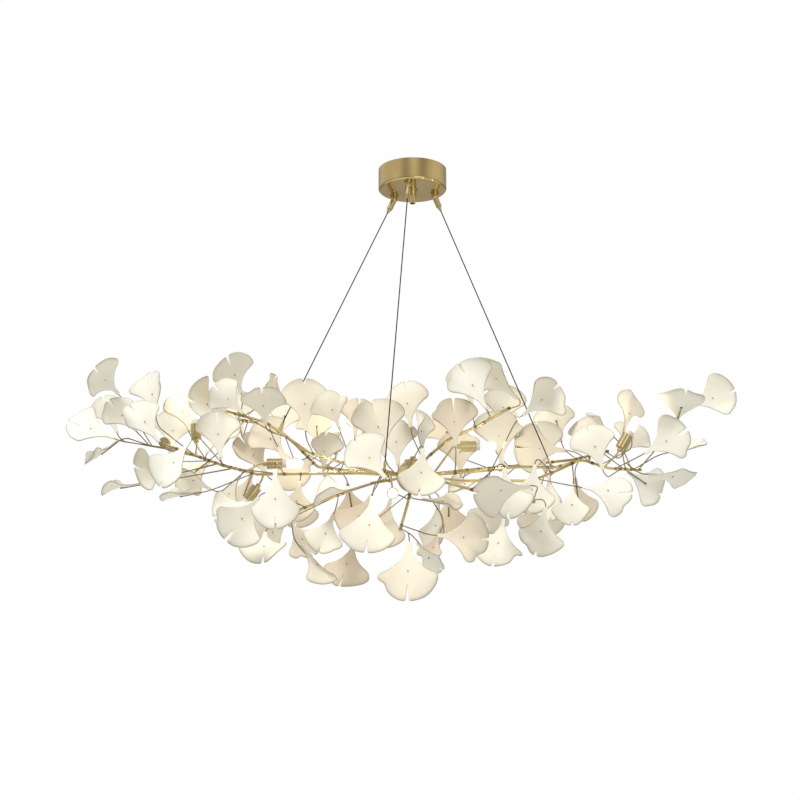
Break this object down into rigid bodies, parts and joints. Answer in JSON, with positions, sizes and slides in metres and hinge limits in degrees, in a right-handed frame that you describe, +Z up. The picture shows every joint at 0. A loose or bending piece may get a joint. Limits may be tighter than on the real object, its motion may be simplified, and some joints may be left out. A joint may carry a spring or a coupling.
{
  "type": "ceramic leaf chandelier",
  "caption": "Ceiling chandelier: a round brass cup and steel cables carry bent brass boughs with white porcelain ginkgo leaves on thin twigs and small capsule lamps between them.",
  "frame": {"origin": "middle of the ceiling bracket's upper face, in the ceiling plane over the canopy", "axes": "+Z up, +X along the length of the leaf cloud, -Y to the front"},
  "size_m": [1.1353, 0.4747, 0.7759],
  "materials": {
    "polished_brass": "polished",
    "dark_brass": "darkened",
    "plated_steel": "zinc plated",
    "steel_cable": "dark strand",
    "porcelain": "bisque, matt",
    "socket_ceramic": "unglazed",
    "bulb_glass": "frosted",
    "terminal_plastic": "moulded"
  },
  "bodies": {
    "chandelier": {"ceiling_bracket": "plated_steel", "canopy_stud": "plated_steel", "stud_nut": "plated_steel", "gripper_nuts": "plated_steel", "terminal_block": "terminal_plastic", "canopy": "polished_brass", "finial": "polished_brass", "cable_grippers": "polished_brass", "cable_clips": "dark_brass", "hub": "polished_brass", "hub_cap": "polished_brass", "lamp_arms": "polished_brass", "lamp_sleeves": "polished_brass", "lamp_inserts": "socket_ceramic", "bulb_bases": "socket_ceramic", "bulb_capsules": "bulb_glass", "cable_1": "steel_cable", "cable_2": "steel_cable", "cable_3": "steel_cable", "bough_left": "polished_brass", "bough_upper_left": "polished_brass", "bough_back_left": "polished_brass", "bough_front": "polished_brass", "bough_front_left": "polished_brass", "bough_front_right": "polished_brass", "bough_low": "polished_brass", "bough_upper": "polished_brass", "bough_right": "polished_brass", "bough_lower_right": "polished_brass", "bough_back_right": "polished_brass", "twigs_left_tip": "polished_brass", "leaves_left_tip": "porcelain", "twigs_left": "polished_brass", "leaves_left": "porcelain", "twigs_upper_left": "polished_brass", "leaves_upper_left": "porcelain", "twigs_back_left": "polished_brass", "leaves_back_left": "porcelain", "twigs_front_left": "polished_brass", "leaves_front_left": "porcelain", "twigs_front": "polished_brass", "leaves_front": "porcelain", "twigs_low": "polished_brass", "leaves_low": "porcelain", "twigs_upper": "polished_brass", "leaves_upper": "porcelain", "twigs_right_tip": "polished_brass", "leaves_right_tip": "porcelain", "twigs_right": "polished_brass", "leaves_right": "porcelain", "twigs_lower_right": "polished_brass", "leaves_lower_right": "porcelain", "twigs_front_right": "polished_brass", "leaves_front_right": "porcelain", "twigs_back_right": "polished_brass", "leaves_back_right": "porcelain"},
    "plunger_1": {"gripper_plunger_1": "polished_brass"},
    "plunger_2": {"gripper_plunger_2": "polished_brass"},
    "plunger_3": {"gripper_plunger_3": "polished_brass"}
  },
  "joints": [
    {"name": "gripper_release_1", "type": "slide", "parent": "chandelier", "child": "plunger_1", "axis": [0.4369, -0.0879, 0.8952], "range_m": [0, 0.002], "stiffness_N_per_m": 300},
    {"name": "gripper_release_2", "type": "slide", "parent": "chandelier", "child": "plunger_2", "axis": [0.0764, 0.1304, 0.9885], "range_m": [0, 0.002], "stiffness_N_per_m": 300},
    {"name": "gripper_release_3", "type": "slide", "parent": "chandelier", "child": "plunger_3", "axis": [-0.3788, -0.0376, 0.9247], "range_m": [0, 0.002], "stiffness_N_per_m": 300}
  ]
}
